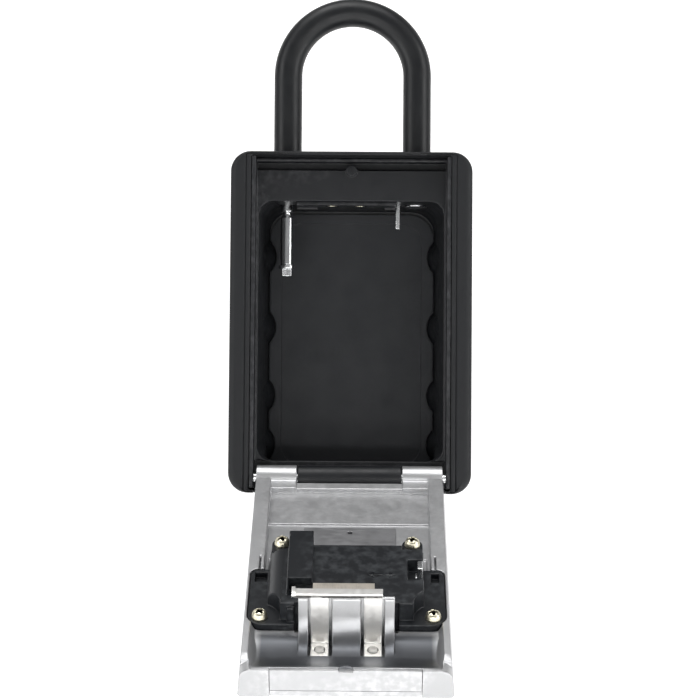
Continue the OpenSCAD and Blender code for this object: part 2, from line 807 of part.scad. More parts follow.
in_row() case_tub();
in_row() outer_jacket();
in_row() floor_liner();
in_row() strike_plate();
in_row() strike_screws();
in_row() leg_bushings();
in_row() shackle_core();
in_row() shackle_sleeve();
in_row() heel_nut();
in_row() shackle_bolt();
in_row() hinge_pin();
on_door() door_shell();
on_door() front_panel();
on_door() spring_cover();
on_door() cover_detent();
on_door() detent_washer();
on_door() dial_cover();
on_door() lock_housing();
on_door() housing_screws();
on_door() dial_axle();
on_door() dial_1();
on_door() dial_2();
on_door() dial_3();
on_door() dial_4();
on_door() dial_hub_1();
on_door() dial_hub_2();
on_door() dial_hub_3();
on_door() dial_hub_4();
on_door() detent_spring();
on_door() gate_plate();
on_door() latch_plate();
on_door() latch_rivets();
on_door() opening_slider();
on_door() latch_spring();
on_door() reset_lever();
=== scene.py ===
import json
import math

import bmesh
import bpy
from mathutils import Matrix, Vector


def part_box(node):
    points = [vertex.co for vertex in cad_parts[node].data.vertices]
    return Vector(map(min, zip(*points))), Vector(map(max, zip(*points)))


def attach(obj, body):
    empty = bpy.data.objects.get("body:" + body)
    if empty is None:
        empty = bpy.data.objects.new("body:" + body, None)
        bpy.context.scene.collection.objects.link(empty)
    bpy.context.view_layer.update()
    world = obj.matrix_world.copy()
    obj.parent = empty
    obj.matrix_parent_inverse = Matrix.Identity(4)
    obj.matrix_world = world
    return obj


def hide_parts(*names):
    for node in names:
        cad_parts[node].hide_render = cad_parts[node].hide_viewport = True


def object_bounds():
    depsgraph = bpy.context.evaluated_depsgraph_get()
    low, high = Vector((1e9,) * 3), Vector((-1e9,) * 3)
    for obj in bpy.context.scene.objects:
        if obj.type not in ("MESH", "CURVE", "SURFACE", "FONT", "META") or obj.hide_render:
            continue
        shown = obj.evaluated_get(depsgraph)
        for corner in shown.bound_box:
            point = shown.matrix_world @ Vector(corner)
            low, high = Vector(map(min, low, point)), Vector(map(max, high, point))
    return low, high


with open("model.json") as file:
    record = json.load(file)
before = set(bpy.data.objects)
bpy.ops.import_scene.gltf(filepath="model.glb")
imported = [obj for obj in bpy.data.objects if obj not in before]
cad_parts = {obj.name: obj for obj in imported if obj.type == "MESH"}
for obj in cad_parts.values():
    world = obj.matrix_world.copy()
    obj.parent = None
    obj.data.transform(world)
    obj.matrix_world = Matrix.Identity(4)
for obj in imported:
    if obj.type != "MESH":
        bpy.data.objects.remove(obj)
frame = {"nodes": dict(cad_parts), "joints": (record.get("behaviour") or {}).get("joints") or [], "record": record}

# Key lock box: refined shapes, materials and studio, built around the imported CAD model.
# Shapes are built in millimetres in one of two local frames, and scaled to metres at the end:
# CASE has its origin at the case's front bottom centre, and DOOR is on the hinge axis with
# X across, Y the depth into the case and Z along the door when it is closed.

MM = 0.001
cad_low, cad_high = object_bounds()
jacket_low, jacket_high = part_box("outer_jacket")
pin_low, pin_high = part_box("hinge_pin")
hinge = next(j for j in frame["joints"] if j["name"] == "door_hinge")
door_turn = Matrix.Rotation(math.radians(-hinge["range_deg"][0]), 4, "X")
CASE = Matrix.Translation((0, jacket_low.y, jacket_low.z))
DOOR = Matrix.Translation((pin_low + pin_high) / 2) @ door_turn


# ---------- materials ----------

def colour(rgb, factor=1.0):
    return (*[min(1.0, c * factor) for c in rgb], 1)


class Nodes:
    """A node tree under construction, with a coordinate in the piece's own frame."""

    def __init__(self, name):
        self.material = bpy.data.materials.new(name)
        self.material.use_nodes = True
        self.tree = self.material.node_tree
        self.shader = self.tree.nodes["Principled BSDF"]
        self.place = self.add("ShaderNodeTexCoord").outputs["Object"]

    def add(self, kind, **values):
        node = self.tree.nodes.new(kind)
        for key, value in values.items():
            setattr(node, key, value)
        return node

    def link(self, source, target):
        self.tree.links.new(source, target)

    def noise(self, size_mm, detail=3.0, stretch=(1, 1, 1)):
        mapping = self.add("ShaderNodeMapping")
        mapping.inputs["Scale"].default_value = stretch
        self.link(self.place, mapping.inputs["Vector"])
        noise = self.add("ShaderNodeTexNoise")
        noise.inputs["Scale"].default_value = 1 / (size_mm * MM)
        noise.inputs["Detail"].default_value = detail
        noise.inputs["Roughness"].default_value = 0.5
        self.link(mapping.outputs["Vector"], noise.inputs["Vector"])
        return noise.outputs["Fac"]

    def span(self, value, low, high, from_low=0.3, from_high=0.7):
        """Value between from_low and from_high, stretched to low and high. Noise mostly lies
        within the usual limits."""
        node = self.add("ShaderNodeMapRange")
        limits = {"From Min": from_low, "From Max": from_high, "To Min": low, "To Max": high}
        for key, number in limits.items():
            node.inputs[key].default_value = number
        self.link(value, node.inputs["Value"])
        return node.outputs["Result"]

    def rise(self, value, start_mm, end_mm):
        """0 before start_mm and 1 after end_mm."""
        return self.span(value, 0, 1, start_mm * MM, end_mm * MM)

    def fall(self, value, start_mm, end_mm):
        """1 before start_mm and 0 after end_mm."""
        return self.span(value, 1, 0, start_mm * MM, end_mm * MM)

    def axes(self):
        """X, Y and Z of the place in the piece's own frame."""
        parts = self.add("ShaderNodeSeparateXYZ")
        self.link(self.place, parts.inputs[0])
        return parts.outputs["X"], parts.outputs["Y"], parts.outputs["Z"]

    def mix(self, factor, a, b):
        """Colour a where factor is 0 and colour b where it is 1."""
        node = self.add("ShaderNodeMix", data_type="RGBA")
        self.link(factor, node.inputs["Factor"])
        for socket, value in ((node.inputs["A"], a), (node.inputs["B"], b)):
            if isinstance(value, tuple):
                socket.default_value = value
            else:
                self.link(value, socket)
        return node.outputs["Result"]

    def math(self, operation, a, b=0):
        node = self.add("ShaderNodeMath", operation=operation)
        for socket, value in zip(node.inputs, (a, b)):
            if isinstance(value, (int, float)):
                socket.default_value = value
            else:
                self.link(value, socket)
        return node.outputs[0]

    def product(self, *factors):
        result = factors[0]
        for factor in factors[1:]:
            result = self.math("MULTIPLY", result, factor)
        return result

    def bump(self, *layers):
        """Adds bumps of (height, depth in millimetres), one over the other."""
        previous = None
        for height, depth in layers:
            node = self.add("ShaderNodeBump")
            node.inputs["Distance"].default_value = depth * MM
            self.link(height, node.inputs["Height"])
            if previous:
                self.link(previous, node.inputs["Normal"])
            previous = node.outputs["Normal"]
        self.link(previous, self.shader.inputs["Normal"])


def edge_wear(nodes, low=0.53, high=0.60):
    """0 to 1 on outer edges, broken up by noise. low and high are limits of pointiness."""
    point = nodes.add("ShaderNodeNewGeometry").outputs["Pointiness"]
    edge = nodes.span(point, 0, 1, low, high)
    patchy = nodes.span(nodes.noise(2.5, 4), 0, 1, 0.42, 0.68)
    return nodes.math("MULTIPLY", edge, patchy)


def finish(name, rgb, rough, metal=0.0, vary=0.08, vary_mm=14, grain_mm=0.35, grain=0.01,
           stretch=(1, 1, 1), rough_vary=0.06, wear=None, wear_amount=0.5, specular=0.5):
    """A material with drifting colour and roughness, a surface grain and worn edges."""
    nodes = Nodes(name)
    shader = nodes.shader
    drift = nodes.noise(vary_mm, 4)
    fine = nodes.noise(grain_mm * 4, 5, stretch)
    tone = nodes.mix(nodes.span(drift, 0, 1), colour(rgb, 1 - vary), colour(rgb, 1 + vary))
    tone = nodes.mix(nodes.span(fine, 0, 1), tone, colour(rgb, 1 + vary))
    cloud = nodes.noise(vary_mm * 0.3, 5, stretch)
    roughness = nodes.span(cloud, rough - rough_vary, rough + rough_vary)
    if wear:
        worn = nodes.math("MULTIPLY", edge_wear(nodes), wear_amount)
        tone = nodes.mix(worn, tone, colour(wear))
    nodes.link(tone, shader.inputs["Base Color"])
    nodes.link(roughness, shader.inputs["Roughness"])
    shader.inputs["Metallic"].default_value = metal
    shader.inputs["Specular IOR Level"].default_value = specular
    nodes.bump((drift, grain * 0.6), (nodes.noise(grain_mm, 3, stretch), grain))
    return nodes.material


def soft_touch():
    """Matt soft-touch rubber with a fine pebbled grain."""
    return finish("soft_touch", (0.0060, 0.0066, 0.0078), 0.56, vary=0.10, vary_mm=22, grain_mm=0.22,
                  grain=0.012, rough_vary=0.05, wear=(0.05, 0.05, 0.05), wear_amount=0.5, specular=0.30)


def powder_coat():
    """Satin black powder coat with an orange-peel surface."""
    return finish("powder_coat", (0.0040, 0.0046, 0.0060), 0.48, vary=0.12, vary_mm=16, grain_mm=0.55,
                  grain=0.02, rough_vary=0.07, wear=(0.06, 0.06, 0.065), wear_amount=0.4, specular=0.38)


def mat_liner():
    return finish("mat_liner", (0.0110, 0.0122, 0.0150), 0.62, vary=0.14, vary_mm=24, grain_mm=0.3,
                  grain=0.02, rough_vary=0.05)


def shackle_coating():
    return finish("shackle_coating", (0.0036, 0.0042, 0.0052), 0.42, vary=0.12, vary_mm=18, grain_mm=0.3,
                  grain=0.008, rough_vary=0.07, wear=(0.05, 0.05, 0.05), wear_amount=0.3, specular=0.34)


def silver_lacquer(name="silver_lacquer", level=0.52):
    """Fine silver lacquer on a zinc casting, with metal flake."""
    return finish(name, (level, level * 1.005, level * 1.02), 0.40, metal=0.82, vary=0.015, vary_mm=9,
                  grain_mm=0.12, grain=0.005, rough_vary=0.02, wear=(0.75, 0.75, 0.76), wear_amount=0.4)


def door_lacquer():
    """Silver lacquer, glossier on the floor of the hollow across the door's end, where a darker colour is painted
    in as a painted reflection of the black case.

    Each side of the hollow is a pair of places in the door's frame, in millimetres, between
    which the painted reflection fades."""
    start, end, half_width = (90, 93.5), (110.5, 112), (26.5, 30)
    front, rim = (-4.5, -3.5), (0.6, 8.5)
    painted_shade_end_face = (111.9, 112.6)
    silver, painted_reflection, worn = (0.52, 0.523, 0.53), (0.115, 0.12, 0.13), (0.75, 0.75, 0.76)
    nodes = Nodes("door_lacquer")
    shader = nodes.shader
    x, depth, along = nodes.axes()
    hollow = nodes.product(
        nodes.rise(along, *start), nodes.fall(along, *end),
        nodes.fall(depth, *rim), nodes.rise(depth, *front),
        nodes.fall(nodes.math("ABSOLUTE", x), *half_width))
    drift = nodes.noise(9, 4)
    flake = nodes.noise(0.48, 5)
    tone = nodes.mix(nodes.span(drift, 0, 1), colour(silver, 0.96), colour(silver, 1.04))
    tone = nodes.mix(nodes.span(flake, 0, 0.5), tone, colour(silver, 1.08))
    # Painted reflection: the hollow's floor is painted darker, standing in for the black case reflected in it.
    tone = nodes.mix(hollow, tone, colour(painted_reflection))
    # Painted shade: the end face is painted darker, to tone down the light falling on it.
    tone = nodes.mix(nodes.rise(along, *painted_shade_end_face), tone, colour(silver, 0.80))
    tone = nodes.mix(nodes.product(edge_wear(nodes), 0.4), tone, colour(worn))
    roughness = nodes.span(nodes.noise(2.7, 5), 0.37, 0.43)
    roughness = nodes.math("SUBTRACT", roughness, nodes.product(hollow, 0.05))
    nodes.link(tone, shader.inputs["Base Color"])
    nodes.link(roughness, shader.inputs["Roughness"])
    shader.inputs["Metallic"].default_value = 0.85
    nodes.bump((drift, 0.002), (nodes.noise(0.12, 3), 0.005))
    return nodes.material


def moulded_black():
    """Satin black moulded plastic with a fine eroded grain."""
    return finish("moulded_black", (0.0060, 0.0072, 0.0092), 0.38, vary=0.05, vary_mm=10, grain_mm=0.16,
                  grain=0.0025, rough_vary=0.012, wear=(0.06, 0.065, 0.07), wear_amount=0.5,
                  specular=0.40)


def bright_metal(name, rgb, rough, stretch=(1, 1, 1), vary=0.07, grain=0.002):
    return finish(name, rgb, rough, metal=1.0, vary=vary, vary_mm=5, grain_mm=0.2, grain=grain,
                  stretch=stretch, rough_vary=0.05, wear=colour(rgb, 1.25)[:3], wear_amount=0.5)


def screw_zinc():
    """Yellowish zinc plate, with painted shade in the cross recess of a screw's head.

    The painted shade fades between two distances from the screw's axis, and two depths, in
    millimetres."""
    recess_reach, recess_depth = (1.65, 2.0), (-0.7, -0.3)
    plate, recess_shade = (0.76, 0.72, 0.56), (0.035, 0.033, 0.03)
    nodes = Nodes("screw_zinc")
    shader = nodes.shader
    x, y, depth = nodes.axes()
    reach = nodes.math("SQRT", nodes.math("ADD", nodes.product(x, x), nodes.product(y, y)))
    inside = nodes.product(nodes.fall(reach, *recess_reach), nodes.fall(depth, *recess_depth))
    tone = nodes.mix(nodes.span(nodes.noise(1.5, 4), 0, 1), colour(plate, 0.9), colour(plate, 1.1))
    # Painted shade darkens the inside of the cross recess.
    nodes.link(nodes.mix(inside, tone, colour(recess_shade)), shader.inputs["Base Color"])
    nodes.link(nodes.span(nodes.noise(0.8, 5), 0.30, 0.42), shader.inputs["Roughness"])
    shader.inputs["Metallic"].default_value = 1.0
    nodes.bump((nodes.noise(0.3, 3), 0.001))
    return nodes.material


JACKET = soft_touch()
TUB = powder_coat()
LINER = mat_liner()
COATING = shackle_coating()
SILVER = door_lacquer()
PANEL = silver_lacquer("panel_lacquer", 0.43)
HOUSING = moulded_black()
DIAL = finish("dial_plastic", (0.016, 0.0165, 0.018), 0.38, vary=0.1, vary_mm=6,
              grain_mm=0.15, grain=0.003)
NUMBERS = finish("dial_numbers", (0.82, 0.82, 0.78), 0.5, vary=0.06, vary_mm=2,
                 grain_mm=0.1, grain=0.002)
BUSHING = finish("bushing_plastic", (0.012, 0.012, 0.013), 0.5, vary=0.1, vary_mm=8,
                 grain_mm=0.2, grain=0.004)

# Stretch below 1 draws the grain out along that axis, as brushing or drawing does.
STEEL = bright_metal("bright_steel", (0.74, 0.75, 0.76), 0.24, stretch=(1, 1, 0.15))
CORE = bright_metal("shackle_steel", (0.70, 0.71, 0.72), 0.20, stretch=(1, 1, 0.2))
NICKEL = bright_metal("nickel_plate", (0.98, 0.96, 0.93), 0.35, vary=0.03, grain=0.0004)
GATE = bright_metal("gate_steel", (0.74, 0.68, 0.60), 0.34, stretch=(5, 0.2, 0.2), vary=0.2)
ZINC = screw_zinc()
BRASS = bright_metal("brass", (0.66, 0.47, 0.20), 0.3, stretch=(0.2, 1, 1))
RIVET = bright_metal("rivet_steel", (0.50, 0.49, 0.47), 0.42, vary=0.15)
SHEET = bright_metal("spring_cover_steel", (0.36, 0.36, 0.37), 0.42, stretch=(0.3, 1, 1), vary=0.05)
WIRE = bright_metal("spring_steel", (0.50, 0.51, 0.53), 0.32)


# ---------- shape helpers ----------

def put(name, bm, place, body, material, replaces=()):
    """Makes a piece from a bmesh in millimetres, in a local frame, riding on a body."""
    bmesh.ops.recalc_face_normals(bm, faces=bm.faces)
    bm.transform(Matrix.Scale(MM, 4))
    mesh = bpy.data.meshes.new(name)
    bm.to_mesh(mesh)
    bm.free()
    mesh.shade_smooth()
    mesh.materials.append(material)
    piece = bpy.data.objects.new(name, mesh)
    bpy.context.scene.collection.objects.link(piece)
    piece.matrix_world = place
    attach(piece, body)
    if replaces:
        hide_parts(*replaces)
    return piece


def tidy_normals(piece):
    """Shades the flat areas flat, beside their rounded edges."""
    normals = piece.modifiers.new("normals", "WEIGHTED_NORMAL")
    normals.keep_sharp = True
    normals.weight = 80


def body_of_node(node):
    return next(b for b, members in frame["record"]["behaviour"]["bodies"].items() if node in members)


def shape_of(node, place):
    """A CAD node's shape in a local frame in millimetres, welded."""
    bm = bmesh.new()
    bm.from_mesh(frame["nodes"][node].data)
    bm.transform(Matrix.Scale(1 / MM, 4) @ place.inverted())
    bmesh.ops.remove_doubles(bm, verts=bm.verts, dist=0.002)
    return bm


def solids_of(node, place):
    """The box of each separate solid of a CAD node, in a local frame in millimetres."""
    bm = shape_of(node, place)
    left = set(bm.verts)
    boxes = []
    while left:
        found = [left.pop()]
        for vert in found:
            for edge in vert.link_edges:
                other = edge.other_vert(vert)
                if other in left:
                    left.remove(other)
                    found.append(other)
        low = Vector([min(v.co[k] for v in found) for k in range(3)])
        high = Vector([max(v.co[k] for v in found) for k in range(3)])
        boxes.append((low, high))
    bm.free()
    return sorted(boxes, key=lambda b: (round(b[0].z), b[0].x))


def shape_box(node, place=None):
    """Lowest and highest corners of a CAD node in a local frame in millimetres."""
    bm = shape_of(node, place or DOOR)
    low = Vector([min(v.co[k] for v in bm.verts) for k in range(3)])
    high = Vector([max(v.co[k] for v in bm.verts) for k in range(3)])
    bm.free()
    return low, high


def refine(node, place, material, width=0.3, rule=None, segments=3, sharp_deg=28):
    """Rebuilds a CAD node with rounded edges. rule(middle, along) gives an edge's width in
    millimetres, or None for the usual width."""
    bm = shape_of(node, place)
    layer = bm.edges.layers.float.new("bevel_weight_edge")
    widths = {}
    for edge in bm.edges:
        if len(edge.link_faces) == 2 and edge.calc_face_angle(0) > math.radians(sharp_deg):
            middle = (edge.verts[0].co + edge.verts[1].co) / 2
            along = (edge.verts[1].co - edge.verts[0].co).normalized()
            chosen = rule(middle, along) if rule else None
            widths[edge] = width if chosen is None else chosen
    widest = max(widths.values(), default=width)
    for edge, chosen in widths.items():
        edge[layer] = chosen / widest
    piece = put(node + "_refined", bm, place, body_of_node(node), material, [node])
    bevel = piece.modifiers.new("round_edges", "BEVEL")
    bevel.limit_method = "WEIGHT"
    bevel.width = widest * MM
    bevel.segments = segments
    bevel.use_clamp_overlap = False
    bevel.loop_slide = False
    tidy_normals(piece)
    return piece


def lathe(profile, steps=48):
    """Profile of (radius, height) turned about Z."""
    bm = bmesh.new()
    verts = [bm.verts.new((r, 0, z)) for r, z in profile]
    edges = [bm.edges.new(pair) for pair in zip(verts, verts[1:])]
    bmesh.ops.spin(bm, geom=verts + edges, cent=(0, 0, 0), axis=(0, 0, 1), angle=math.tau, steps=steps)
    bmesh.ops.remove_doubles(bm, verts=bm.verts, dist=0.001)
    return bm


def prism(outline, low, high, taper=1.0):
    """Outline of (x, y) from height low to high, with its low end scaled by taper."""
    bm = bmesh.new()
    bottom = [bm.verts.new((x * taper, y * taper, low)) for x, y in outline]
    top = [bm.verts.new((x, y, high)) for x, y in outline]
    bm.faces.new(list(reversed(bottom)))
    bm.faces.new(top)
    for k in range(len(outline)):
        nxt = (k + 1) % len(outline)
        bm.faces.new((bottom[k], bottom[nxt], top[nxt], top[k]))
    return bm


def cut(piece, cutter_bm, solver="EXACT"):
    """Cuts a shape in millimetres, in the piece's own frame, out of the piece."""
    bmesh.ops.recalc_face_normals(cutter_bm, faces=cutter_bm.faces)
    cutter_bm.transform(Matrix.Scale(MM, 4))
    mesh = bpy.data.meshes.new("cutter")
    cutter_bm.to_mesh(mesh)
    cutter_bm.free()
    cutter = bpy.data.objects.new("cutter", mesh)
    bpy.context.scene.collection.objects.link(cutter)
    cutter.matrix_world = piece.matrix_world
    boolean = piece.modifiers.new("cut", "BOOLEAN")
    boolean.object = cutter
    boolean.solver = solver
    bpy.context.view_layer.update()
    result = bpy.data.meshes.new_from_object(piece.evaluated_get(bpy.context.evaluated_depsgraph_get()))
    piece.modifiers.remove(boolean)
    piece.data = result
    bpy.data.objects.remove(cutter)


# ---------- case ----------

def rounded_ring(half, low, high, rx, rz, y):
    """Points round an upright rectangle with elliptical corners, at depth y."""
    side_steps, corner_steps = 8, 10
    corners = [(half - rx, low + rz, -90), (half - rx, high - rz, 0), (-half + rx, high - rz, 90),
               (-half + rx, low + rz, 180)]
    points = []
    for cx, cz, start in corners:
        for k in range(corner_steps + 1):
            a = math.radians(start + 90 * k / corner_steps)
            points.append(Vector((cx + rx * math.cos(a), y, cz + rz * math.sin(a))))
    out = []
    for k, point in enumerate(points):
        nxt = points[(k + 1) % len(points)]
        straight = (k + 1) % (corner_steps + 1) == 0
        count = side_steps if straight else 1
        out += [point.lerp(nxt, j / count) for j in range(count)]
    return out


def loft(rings):
    """Joins rings with the same number of points, and caps both ends."""
    bm = bmesh.new()
    rows = [[bm.verts.new(p) for p in ring] for ring in rings]
    for a, b in zip(rows, rows[1:]):
        for k in range(len(a)):
            nxt = (k + 1) % len(a)
            bm.faces.new((a[k], a[nxt], b[nxt], b[k]))
    bm.faces.new(rows[0])
    bm.faces.new(list(reversed(rows[-1])))
    return bm


def in_case(corners):
    """Corners of a box in the case's frame, in millimetres."""
    return [CASE.inverted() @ corner / MM for corner in corners]


def make_jacket():
    """Soft cover: broad side rims with rounded outer edges, and a thin lip over the top."""
    tub_low, tub_high = in_case(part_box("case_tub"))
    sleeve_low, sleeve_high = in_case(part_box("shackle_sleeve"))
    half = jacket_high.x / MM
    high = (jacket_high.z - jacket_low.z) / MM
    back = (jacket_high.y - jacket_low.y) / MM
    corner, least_corner, inner_corner = 7, 0.8, 0.9
    fit = 0.1
    inner_half, inner_back = tub_high.x + fit, tub_high.y + fit
    inner_low, inner_high = tub_low.z - fit, tub_high.z + fit
    rim_x, rim_z, rim_deep, back_round = 2.6, 0.75, 2.4, 2.2
    quarter = [math.radians(15 * k) for k in range(7)]

    def outer(inset_x, inset_z, y):
        rx, rz = max(corner - inset_x, least_corner), max(corner - inset_z, least_corner)
        return rounded_ring(half - inset_x, inset_z, high - inset_z, rx, rz, y)

    def inner(grow_x, grow_z, y):
        return rounded_ring(inner_half + grow_x, inner_low - grow_z, inner_high + grow_z,
                            inner_corner, inner_corner, y)

    # From the back of the tub's space to its mouth, with the mouth's rounded edge.
    rings = [inner(0, 0, inner_back), inner(0, 0, 0.55), inner(0.12, 0.12, 0.2), inner(0.45, 0.45, 0)]
    # A narrow groove down both side rims: distance out and up, and depth.
    for out_x, out_z, deep in ((1.5, 0.50, 0), (1.62, 0.55, 0.4), (1.95, 0.60, 0.4), (2.07, 0.65, 0)):
        ring = inner(out_x, out_z, 0)
        for point in ring:
            point.y = deep if abs(point.x) > inner_half - 1 else 0
        rings.append(ring)
    # The flat of the rims, their rounded front edge, and the rounded edge of the back.
    flat_start, flat_end = rings[-1], outer(rim_x, rim_z, 0)
    for share in (0.3, 0.7):
        rings.append([a.lerp(b, share) for a, b in zip(flat_start, flat_end)])
    for a in quarter:
        left = 1 - math.sin(a)
        rings.append(outer(rim_x * left, rim_z * left, rim_deep * (1 - math.cos(a))))
    for a in quarter:
        inset = back_round * (1 - math.cos(a))
        rings.append(outer(inset, inset, back - back_round + back_round * math.sin(a)))
    jacket = put("jacket", loft(rings), CASE, "case", JACKET, ["outer_jacket"])

    # Room for the door's hinge, and holes for the two legs. Cutters reach 1 mm past the surface.
    beyond = 1
    opening, notch_deep, notch_high = inner_half - 1.6, 9.4, 2.6
    outline = [(-opening, -beyond), (opening, -beyond), (opening, notch_deep), (-opening, notch_deep)]
    cut(jacket, prism(outline, -beyond, notch_high), "FAST")
    radius = (sleeve_high.y - sleeve_low.y) / 2
    leg_x, leg_y = sleeve_high.x - radius, (sleeve_high.y + sleeve_low.y) / 2
    hole_radius, hole_low, hole_high = radius + 0.3, high - 3, high + beyond
    for side in (-1, 1):
        hole = lathe([(0, hole_low), (hole_radius, hole_low), (hole_radius, hole_high), (0, hole_high)])
        hole.transform(Matrix.Translation((side * leg_x, leg_y, 0)))
        cut(jacket, hole, "FAST")
    bevel = jacket.modifiers.new("round_edges", "BEVEL")
    bevel.limit_method = "ANGLE"
    bevel.angle_limit = math.radians(50)
    bevel.width = 0.25 * MM
    bevel.segments = 2
    bevel.use_clamp_overlap = False
    bevel.loop_slide = False
    tidy_normals(jacket)


def make_case():
    make_jacket()
    refine("case_tub", CASE, TUB, 0.4)
    refine("floor_liner", CASE, LINER, 0.18, segments=2)
    refine("strike_plate", CASE, TUB, 0.2, segments=2)
    refine("leg_bushings", CASE, BUSHING, 0.3)
    refine("hinge_pin", CASE, STEEL, 0.25)
    refine("shackle_core", CASE, CORE, 0.35)
    refine("shackle_sleeve", CASE, COATING, 0.3)
    refine("heel_nut", CASE, STEEL, 0.2)
    refine("shackle_bolt", CASE, STEEL, 0.25)


# ---------- door ----------

def make_door():
    refine("door_shell", DOOR, SILVER, 0.3)
    refine("front_panel", DOOR, PANEL, 0.12)
    refine("dial_cover", DOOR, PANEL, 0.2)
    refine("lock_housing", DOOR, HOUSING, 0.3)
    refine("gate_plate", DOOR, GATE, 0.12)
    bar_end = shape_box("latch_plate")[1].z
    bend_length, bend_depth, bend_start, bend_width = 9, 14, 94, 0.95

    def bend(middle, along):
        """Round bend where the bar turns down into its legs."""
        near_end = middle.z > max(bar_end - bend_length, bend_start)
        return bend_width if near_end and middle.y > bend_depth and abs(along.x) > 0.9 else None

    refine("latch_plate", DOOR, NICKEL, 0.2, bend, segments=4)
    refine("spring_cover", DOOR, SHEET, 0.15, segments=2)
    refine("cover_detent", DOOR, STEEL, 0.15, segments=2)
    refine("opening_slider", DOOR, PANEL, 0.15)
    refine("reset_lever", DOOR, STEEL, 0.25)
    kept = {"dial_axle": STEEL, "detent_spring": WIRE, "latch_spring": WIRE, "detent_washer": WIRE}
    for node, material in kept.items():
        frame["nodes"][node].data.materials.clear()
        frame["nodes"][node].data.materials.append(material)


def make_screws():
    """Pan-head screws with a cross recess, in the places of the CAD screws."""
    shank = 1.25
    for node, place in (("housing_screws", DOOR), ("strike_screws", CASE)):
        on_door = node == "housing_screws"
        head, recess = (2.5, 1.9) if on_door else (0.7, 0.6)
        for number, (low, high) in enumerate(solids_of(node, place)):
            middle = (low + high) / 2
            radius = (high.x - low.x) / 2
            if on_door:
                top, turn, length = Vector((middle.x, high.y, middle.z)), -90, high.y - low.y
            else:
                top, turn, length = Vector((middle.x, middle.y, low.z)), 180, high.z - low.z
            local = place @ Matrix.Translation(top * MM) @ Matrix.Rotation(math.radians(turn), 4, "X")
            dome = [(0, 0), (radius * 0.4, -0.06), (radius * 0.66, -0.28), (radius * 0.84, -0.7),
                    (radius * 0.93, -1.25), (radius * 0.95, -1.7), (radius, -1.95), (radius, -head)]
            flat = [(0, 0), (radius * 0.45, -0.05), (radius * 0.78, -0.22), (radius, -0.3),
                    (radius, -head)]
            profile = (dome if on_door else flat) + [(shank, -head), (shank, -length), (0, -length)]
            turned = local @ Matrix.Rotation(0.3 + number, 4, "Z")
            screw = put(f"{node}_{number + 1}", lathe(profile, 40), turned, body_of_node(node), ZINC,
                        [node] if number == 0 else ())
            wing, half = radius * 0.66, radius * 0.17
            star = []
            for k in range(4):
                quarter = Matrix.Rotation(math.radians(90 * k), 2)
                points = (wing, -half), (wing, half), (half * 1.5, half * 1.5)
                star += [tuple(quarter @ Vector(point)) for point in points]
            cut(screw, prism(star, -recess, 0.3, 0.55))
            bevel = screw.modifiers.new("round_edges", "BEVEL")
            bevel.width = 0.06 * MM
            bevel.limit_method = "ANGLE"
            bevel.angle_limit = math.radians(40)
            bevel.use_clamp_overlap = False
            tidy_normals(screw)


def make_rivets():
    """Domed rivet heads in the latch feet, with a slightly crushed rim."""
    for number, (low, high) in enumerate(solids_of("latch_rivets", DOOR)):
        top = Vector(((low.x + high.x) / 2, high.y, (low.z + high.z) / 2))
        local = DOOR @ Matrix.Translation(top * MM) @ Matrix.Rotation(math.radians(-90), 4, "X")
        foot = low.y - high.y + 0.01
        profile = [(0, -0.12), (0.9, -0.08), (1.15, 0), (1.45, -0.06), (1.7, -0.25), (1.8, -0.6),
                   (1.2, -0.62), (1.2, foot), (0, foot)]
        rivet = put(f"latch_rivet_{number + 1}", lathe(profile, 40), local, "latch", RIVET,
                    ["latch_rivets"] if number == 0 else ())
        tidy_normals(rivet)


def make_reset_mark():
    """Raised double arrow beside the reset lever."""
    middle_x, middle_u = 11, 72
    tip, neck, head_half, stem, stem_half = 4.5, 2.4, 1.5, 2.6, 0.5
    face = shape_box("lock_housing")[1].y - 2
    low, high = face - 0.1, face + 0.25
    bm = bmesh.new()
    for side in (-1, 1):
        head = [(side * tip, 0), (side * neck, head_half), (side * neck, -head_half)]
        add_tile(bm, [(middle_x + x, middle_u + u) for x, u in head], low, high)
    bar = [(-stem, -stem_half), (stem, -stem_half), (stem, stem_half), (-stem, stem_half)]
    add_tile(bm, [(middle_x + x, middle_u + u) for x, u in bar], low, high)
    put("reset_mark", bm, DOOR, "door", HOUSING)


def add_tile(bm, outline, low, high):
    """Adds an outline of (x, u) as a thin tile between two depths."""
    base = [bm.verts.new((x, low, u)) for x, u in outline]
    face = [bm.verts.new((x, high, u)) for x, u in outline]
    bm.faces.new(base)
    bm.faces.new(face)
    for k in range(len(outline)):
        nxt = (k + 1) % len(outline)
        bm.faces.new((base[k], base[nxt], face[nxt], face[k]))


# ---------- dials ----------

def digit_mesh(text):
    """A digit as a flat mesh of about one unit's height, centred."""
    curve = bpy.data.curves.new("digit", "FONT")
    curve.body = text
    curve.align_x = "CENTER"
    curve.align_y = "CENTER"
    curve.resolution_u = 3
    holder = bpy.data.objects.new("digit", curve)
    bpy.context.scene.collection.objects.link(holder)
    bpy.context.view_layer.update()
    mesh = bpy.data.meshes.new_from_object(holder)
    bpy.data.objects.remove(holder)
    return mesh


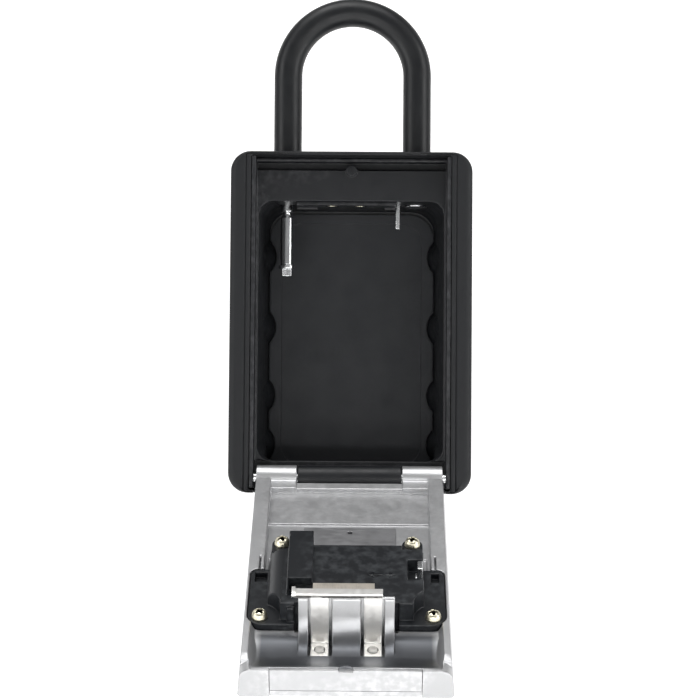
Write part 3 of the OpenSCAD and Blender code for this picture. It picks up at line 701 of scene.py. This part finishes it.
def make_dials():
    """Four dials on their gated hubs, each with ten raised digits round its rim."""
    size, first_deg, step_deg, raised = 3.1, 18, 36, 0.03
    for number in range(1, 5):
        dial, hub = f"dial_{number}", f"dial_hub_{number}"
        low, high = solids_of(dial, DOOR)[0]
        middle, radius = (low + high) / 2, (high.y - low.y) / 2
        refine(dial, DOOR, DIAL, 0.2, segments=2)
        refine(hub, DOOR, BRASS, 0.12, segments=2)
        numbers = bmesh.new()
        for digit in range(10):
            mesh = digit_mesh(str(digit))
            part = bmesh.new()
            part.from_mesh(mesh)
            turned = math.radians(first_deg + step_deg * digit)
            reach = radius + raised
            for vert in part.verts:
                angle = turned + vert.co.y * size / radius
                across, deep, along = vert.co.x * size, -reach * math.sin(angle), reach * math.cos(angle)
                vert.co = Vector((across, deep, along))
            part.to_mesh(mesh)
            part.free()
            numbers.from_mesh(mesh)
            bpy.data.meshes.remove(mesh)
        place = DOOR @ Matrix.Translation(middle * MM)
        put(f"dial_numbers_{number}", numbers, place, f"wheel_{number}", NUMBERS)


# ---------- studio ----------

def make_floor():
    """Pale floor that sweeps up into a backdrop, well below and behind the hanging box."""
    drop, front, reach, bend, height, half = 0.16, -3.0, 1.6, 0.6, 3.0, 4.0
    steps = 16
    floor_z = cad_low.z - drop
    points = [(front, floor_z), (reach, floor_z)]
    points += [(reach + bend * math.sin(a), floor_z + bend * (1 - math.cos(a)))
               for a in (math.radians(90) * k / steps for k in range(1, steps + 1))]
    points.append((reach + bend, floor_z + height))
    bm = bmesh.new()
    rows = [[bm.verts.new((x, y, z)) for x in (-half, half)] for y, z in points]
    for a, b in zip(rows, rows[1:]):
        bm.faces.new((a[0], a[1], b[1], b[0]))
    mesh = bpy.data.meshes.new("floor")
    bm.to_mesh(mesh)
    bm.free()
    mesh.shade_smooth()
    paper = finish("floor_paper", (0.88, 0.88, 0.88), 0.8, vary=0.01, vary_mm=400,
                   grain_mm=2, grain=0.02)
    glow = paper.node_tree.nodes["Principled BSDF"]
    glow.inputs["Emission Color"].default_value = (1, 1, 1, 1)
    glow.inputs["Emission Strength"].default_value = 0.62
    mesh.materials.append(paper)
    floor = bpy.data.objects.new("floor", mesh)
    bpy.context.scene.collection.objects.link(floor)


def softbox(name, place, target, size, watts):
    """Rectangular area light that faces a target."""
    data = bpy.data.lights.new(name, "AREA")
    data.shape = "RECTANGLE"
    data.size, data.size_y = size
    data.energy = watts
    light = bpy.data.objects.new(name, data)
    bpy.context.scene.collection.objects.link(light)
    light.location = place
    light.rotation_mode = "QUATERNION"
    light.rotation_quaternion = (Vector(target) - Vector(place)).to_track_quat("-Z", "Y")


def make_lights():
    """Soft even light: wide boxes in front and above, weak ones at both sides, and a small
    one below that brightens the door's end."""
    world = bpy.data.worlds.new("studio")
    world.use_nodes = True
    world.node_tree.nodes["Background"].inputs["Color"].default_value = (1, 1, 1, 1)
    world.node_tree.nodes["Background"].inputs["Strength"].default_value = 0.26
    bpy.context.scene.world = world
    middle = (cad_low + cad_high) / 2
    softbox("front", (0.15, -1.1, -0.55), middle, (1.3, 0.5), 15)
    softbox("top", (-0.1, -0.35, 0.9), middle, (1.0, 0.6), 9)
    door_end = (0, cad_low.y + 0.03, cad_low.z)
    softbox("low", (0.0, -0.26, cad_low.z - 0.13), door_end, (0.5, 0.22), 0.5)
    softbox("left", (-0.9, -0.5, 0.1), middle, (0.4, 1.0), 4)
    softbox("right", (0.9, -0.4, 0.1), middle, (0.4, 1.0), 5)
    bpy.context.scene.view_settings.view_transform = "Standard"


def make_camera():
    """Camera a little above the case's lower edge, looking slightly up."""
    case_front = CASE.translation
    place = case_front + Vector((5.7, -772.1, 16.3)) * MM
    pitch, yaw, roll = math.radians(2.506), math.radians(-0.432), math.radians(0.427)
    forward = Vector((math.cos(pitch) * math.sin(yaw), math.cos(pitch) * math.cos(yaw),
                      math.sin(pitch)))
    level = Vector((math.cos(yaw), -math.sin(yaw), 0))
    up = level.cross(forward)
    right = math.cos(roll) * level + math.sin(roll) * up
    data = bpy.data.cameras.new("camera")
    data.lens = 113.8
    data.sensor_width = 36
    data.clip_start, data.clip_end = 0.05, 20
    camera = bpy.data.objects.new("camera", data)
    bpy.context.scene.collection.objects.link(camera)
    axes = Matrix((right, right.cross(forward), -forward)).transposed()
    camera.matrix_world = Matrix.Translation(place) @ axes.to_4x4()
    bpy.context.scene.camera = camera


make_camera()
make_case()
make_door()
make_screws()
make_rivets()
make_dials()
make_reset_mark()
make_floor()
make_lights()
